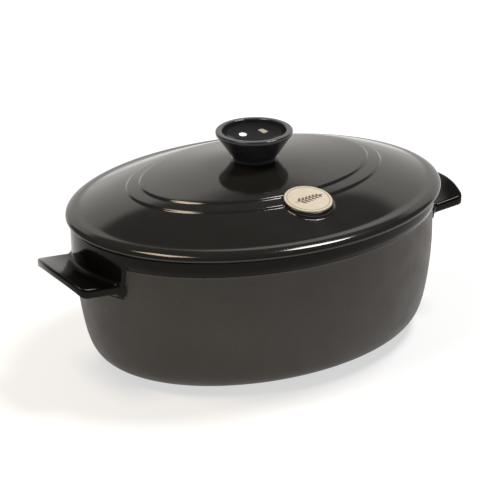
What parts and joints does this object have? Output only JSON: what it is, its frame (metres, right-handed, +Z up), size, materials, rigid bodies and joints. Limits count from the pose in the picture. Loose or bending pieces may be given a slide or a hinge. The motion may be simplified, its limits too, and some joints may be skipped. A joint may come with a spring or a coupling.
{
  "type": "covered casserole dish",
  "caption": "Oval stoneware casserole dish with wing handles and a lift-off domed lid with a flared knob and a round badge.",
  "frame": {"origin": "centre of the base, on the surface that the dish stands on", "axes": "+X along the long axis towards the right handle, -Y towards the front where the badge is, +Z up"},
  "size_m": [0.3874, 0.2656, 0.1869],
  "materials": {
    "pot_glaze": "charcoal glaze, satin gloss",
    "left_handle_glaze": "charcoal glaze, gloss",
    "right_handle_glaze": "charcoal glaze, gloss",
    "lid_glaze": "charcoal glaze, gloss",
    "knob_glaze": "black glaze, high gloss",
    "badge_face": "cream, matt, with a brown sprig"
  },
  "bodies": {
    "pot": {"pot_body": "pot_glaze", "left_handle": "left_handle_glaze", "right_handle": "right_handle_glaze"},
    "lid": {"lid": "lid_glaze", "lid_knob": "knob_glaze", "badge_disc": "badge_face"}
  },
  "joints": [
    {"name": "lid_lift", "type": "slide", "parent": "pot", "child": "lid", "axis": [0, 0, 1], "range_m": [0, 0.15]}
  ]
}
